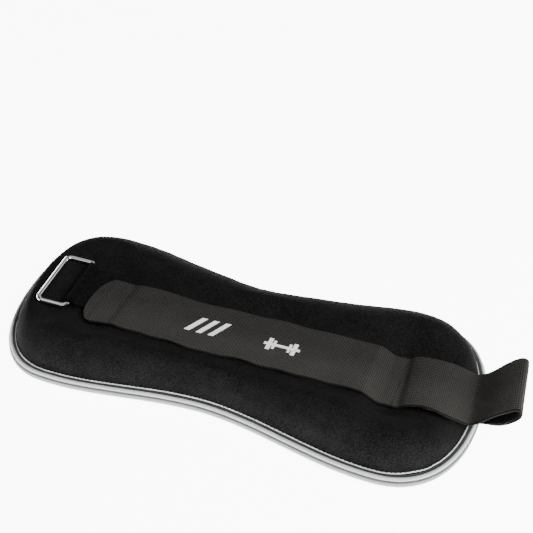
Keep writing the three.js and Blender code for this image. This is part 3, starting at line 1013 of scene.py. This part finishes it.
def decal(strap, name, quads, k):
    """Thin print on the strap, made of quads with their corners in (x, across)."""
    verts, faces, rest = [], [], []
    cells = 10                                   # along each quad, so that it follows the waves
    for quad in quads:
        q = np.array(quad, float)
        base = len(verts)
        for i in range(cells + 1):
            for j in range(3):
                a, b = i / cells, j / 2
                x, y = (q[0] * (1 - a) + q[1] * a) * (1 - b) + (q[3] * (1 - a) + q[2] * a) * b
                spot = strap_place(strap, x, y)
                verts.append((spot[0], spot[1], spot[2] + 0.14 * MM))
                rest.append((x, y, 0))
        faces += [tuple(base + v for v in f) for f in grid_faces(cells + 1, 3)]
    piece = new_mesh(name, verts, faces, rest, PRINT)
    if sum(f.normal.z for f in piece.data.polygons) < 0:
        piece.data.flip_normals()
    on_pocket(piece, k)


def split_at(quads, x):
    """Cuts axis-parallel quads (x0, x1, y0, y1) at x into those before it and those after."""
    before = [(a, min(b, x), c, d) for a, b, c, d in quads if a < x]
    after = [(max(a, x), b, c, d) for a, b, c, d in quads if b > x]
    return before, after


# The dumbbell's bar and discs as (x0, x1, y0, y1) in mm from its middle.
BELL = [(-13, 13, -1.3, 1.3), (-10.5, -7.5, -6, 6), (-6.6, -4.6, -4.4, 4.4),
        (7.5, 10.5, -6, 6), (4.6, 6.6, -4.4, 4.4)]
BELL_AT = (35, -2)                               # its middle on the strap, mm
BARS_AT, BAR_PITCH = -36 * MM, 9 * MM


def build_print(strap):
    """Three slanting bars and a plain dumbbell, in place of the real print."""
    lean, width, height = 8 * MM, 4.2 * MM, 8 * MM
    bars = [[(x, -height), (x + width, -height), (x + lean + width, height), (x + lean, height)]
            for x in (BARS_AT, BARS_AT + BAR_PITCH, BARS_AT + 2 * BAR_PITCH)]
    decal(strap, "print_bars", bars, 2)
    x, y = BELL_AT
    boxes = [((x + a) * MM, (x + b) * MM, (y + c) * MM, (y + d) * MM) for a, b, c, d in BELL]
    before, after = split_at(boxes, CENTRES[4])
    for name, part, k in (("print_bell_1", before, 3), ("print_bell_2", after, 4)):
        if part:
            decal(strap, name, [[(a, c), (b, c), (b, d), (a, d)] for a, b, c, d in part], k)


def build_strap_stitches(strap):
    """Dark thread across the tongue and across the seam where the free end starts."""
    arch = np.array([-0.1, 0.12, 0.18, 0.12, -0.1]) * MM
    radii = np.full(len(arch), 0.22 * MM)
    for name, x, k in (("tongue_stitch", TONGUE_X + 9 * MM, None),
                       ("seam_stitch", SEAM.x - 1.5 * MM, 5)):
        stitches = []
        half = float(np.interp(x, strap.x, strap.half)) - 2 * MM
        for y in np.arange(-half, half - 2.2 * MM, 2.9 * MM):
            ys = y + np.linspace(0, 2.4 * MM, len(arch))
            line = np.array([strap_place(strap, x, v) for v in ys])
            line[:, 2] += arch
            stitches.append((line, radii, ys))
        piece = thread(name, stitches, STRAP)
        on_pocket(piece, k)


# ---- tab ----
RING_TURN = Vector(JOINTS["ring_swing"]["axis"])          # along the ring's hidden bar
TAB_HALF = 22.5 * MM


def build_tab():
    """Fuzzy tape looped round the ring's bar and laid double under the tongue."""
    bottom, top = TAB_DIMPLE + 0.3 * MM - RING_PIVOT.z, TAB_TOP - RING_PIVOT.z
    end, ear = 28 * MM, 2.9 * MM                 # length under the tongue, radius round the bar
    pts = [(end, top - 0.6 * MM), (9 * MM, top - 0.5 * MM), (5 * MM, top + 0.6 * MM)]
    pts += [(ear * math.cos(math.radians(a)), ear * math.sin(math.radians(a)))
            for a in (62, 90, 120, 150, 180, 210, 240, 270)]
    pts += [(5 * MM, bottom + 0.6 * MM), (end, bottom + 0.6 * MM)]
    line, s = curve(pts, 0.6 * MM)
    tangent = np.gradient(line, axis=0)
    tangent /= np.linalg.norm(tangent, axis=1)[:, None]
    outward = np.stack([tangent[:, 1], -tangent[:, 0]], 1)
    cols = np.linspace(-1, 1, 61)
    rng = np.random.default_rng(3)
    bar = np.array(RING_TURN)
    forward = np.array([bar[1], -bar[0], 0])
    verts, rest = [], []
    for i in range(len(s)):
        for side, order in ((1, cols), (-1, cols[::-1])):
            for c in order:
                fray = rng.uniform(0, 0.5 * MM) * (abs(c) == 1)
                tuft = rng.uniform(0, 0.22 * MM)
                off = side * 0.5 * MM + tuft * (side > 0)
                place = line[i] + outward[i] * off
                spot = np.array(RING_PIVOT) + forward * place[0] + bar * c * (TAB_HALF + fray)
                verts.append((spot[0], spot[1], RING_PIVOT.z + place[1]))
                rest.append((s[i], c * TAB_HALF, 0))
    around = 2 * len(cols)
    last = (len(s) - 1) * around
    faces = grid_faces(len(s), around, closed=True)
    faces.append(tuple(range(around)))
    faces.append(tuple(range(last, last + around))[::-1])
    piece = new_mesh("ring_loop_tab", verts, faces, rest, FUZZ)
    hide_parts("ring_tab")
    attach(piece, "pocket_2")


# ---- stage ----
FLOOR_REACH, FLOOR_DEPTH = 20.0, 10.0            # half its width, and a depth that is not used
LAMPS = {"key": ((1.1, -0.5, 1.1), 0.9, 42),     # place, width (metres) and power (watts)
         "fill": ((-0.9, -0.9, 1.2), 1.2, 3)}
# (height, level) of the sky from the horizon up: a bright rim, then two dark bands.
SKY = [(0.03, 6), (0.06, 1.0), (0.2, 1.0), (0.23, 0.03), (0.37, 0.03), (0.44, 1.6), (0.62, 1.6),
       (0.7, 0.2), (0.8, 0.2), (0.87, 1.2), (1.0, 1)]


def build_floor():
    """A wide pale floor that glows, so that it stays near white round the cuff."""
    corners = [(x * FLOOR_REACH, y * FLOOR_REACH, 0) for x, y in ((-1, -1), (1, -1), (1, 1), (-1, 1))]
    m = material("pale_floor")
    tone = m.colours(m.noise(m.coordinate("Object"), 3), (0, (0.93,) * 3), (1, (0.95,) * 3))
    m.put(m.surface, {"Base Color": tone, "Roughness": 0.9, "Emission Color": (1, 1, 1, 1),
                      "Emission Strength": 9.0})
    floor = new_mesh("floor", corners, [(0, 1, 2, 3)], None, m.owner)
    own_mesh(floor)


def build_lamps():
    for name, (place, size, power) in LAMPS.items():
        light = bpy.data.lights.new(name, "AREA")
        light.energy = power
        light.size = size
        lamp = bpy.data.objects.new(name, light)
        bpy.context.scene.collection.objects.link(lamp)
        lamp.location = place
        lamp.rotation_euler = (-Vector(place)).to_track_quat("-Z", "Y").to_euler()


def build_sky():
    """White with dark bands for the chrome to reflect, and dimmer on the ring's side."""
    world = bpy.data.worlds.new("studio")
    bpy.context.scene.world = world
    sky = Shader(world)
    x, _, z = sky.split(sky.coordinate("Generated"))
    sky.put(sky.nodes["Background"], {
        "Color": sky.colours(z, *[(place, (level,) * 3) for place, level in SKY]),
        "Strength": sky.between(x, (-0.8, 0.2), (0.2, 0.65))})


def build_camera():
    azimuth, elevation = math.radians(22.5), math.radians(41)
    distance = 0.735
    back = Vector((math.sin(azimuth) * math.cos(elevation),
                   -math.cos(azimuth) * math.cos(elevation), math.sin(elevation)))
    right = Vector((math.cos(azimuth), math.sin(azimuth), 0))
    up = back.cross(right)
    focus = Vector((0, 0, 12 * MM))
    target = focus + 19.4 * MM * right + 54.6 * MM * up      # the cuff lies below the picture's middle
    data = bpy.data.cameras.new("camera")
    data.lens = 69.5
    data.sensor_width = 36
    camera = bpy.data.objects.new("camera", data)
    bpy.context.scene.collection.objects.link(camera)
    camera.location = focus + distance * back
    camera.rotation_euler = (camera.location - target).to_track_quat("Z", "Y").to_euler()
    bpy.context.scene.camera = camera


build_camera()
build_floor()
build_sky()
build_lamps()
cover_tree = build_cover()
build_lining()
build_binding()
build_stitching(cover_tree)
build_edge_tape()
webbing = build_strap()
build_hook_tape(webbing)
build_print(webbing)
build_strap_stitches(webbing)
build_tab()

ring = frame["nodes"]["buckle_ring"]
ring.data.materials.clear()
ring.data.materials.append(CHROME)
